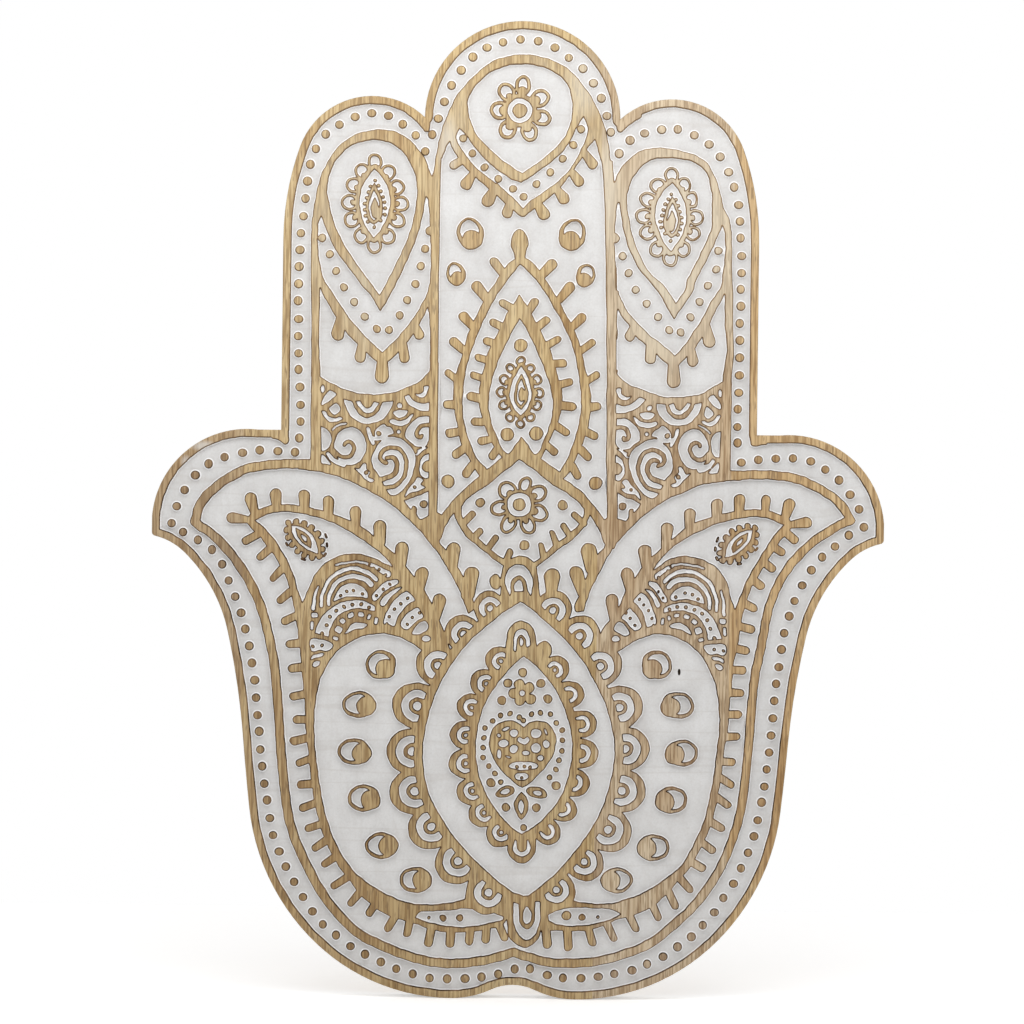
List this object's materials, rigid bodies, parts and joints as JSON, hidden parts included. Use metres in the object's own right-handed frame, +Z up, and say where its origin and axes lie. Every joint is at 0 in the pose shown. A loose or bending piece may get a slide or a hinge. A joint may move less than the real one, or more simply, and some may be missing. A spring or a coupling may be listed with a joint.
{
  "type": "carved hand wall plaque",
  "caption": "Carved wooden open-hand wall plaque with raised folk ornament on a whitewashed ground, glued up from upright boards, with strap hangers and swinging D rings behind.",
  "frame": {"origin": "on the back of the panel, on the hand's mid-line at half its height, in the wall face of the centre board", "axes": "+X to the right as the carved front is seen, +Y out of the back towards the wall, +Z up the fingers; the carved front faces -Y"},
  "size_m": [0.4492, 0.0284, 0.6],
  "materials": {
    "carved_wood": "sanded raised pattern, whitewashed ground",
    "hanger_steel": "zinc plated strip",
    "ring_steel": "zinc plated wire",
    "screw_steel": "zinc plated",
    "bumper_rubber": "matte"
  },
  "bodies": {
    "panel": {"board_left_thumb": "carved_wood", "board_left_outer": "carved_wood", "board_left_inner": "carved_wood", "board_centre": "carved_wood", "board_right_inner": "carved_wood", "board_right_thumb": "carved_wood", "hanger_strap_left": "hanger_steel", "hanger_strap_right": "hanger_steel", "hanger_screws": "screw_steel", "wall_bumper_left": "bumper_rubber", "wall_bumper_right": "bumper_rubber"},
    "left_ring": {"d_ring_left": "ring_steel"},
    "right_ring": {"d_ring_right": "ring_steel"}
  },
  "joints": [
    {"name": "left_ring_swing", "type": "hinge", "parent": "panel", "child": "left_ring", "pos_m": [-0.112, 0.0032, 0.15], "axis": [1, 0, 0], "range_deg": [0, 180]},
    {"name": "right_ring_swing", "type": "hinge", "parent": "panel", "child": "right_ring", "pos_m": [0.112, 0.0032, 0.15], "axis": [1, 0, 0], "range_deg": [0, 180]}
  ]
}
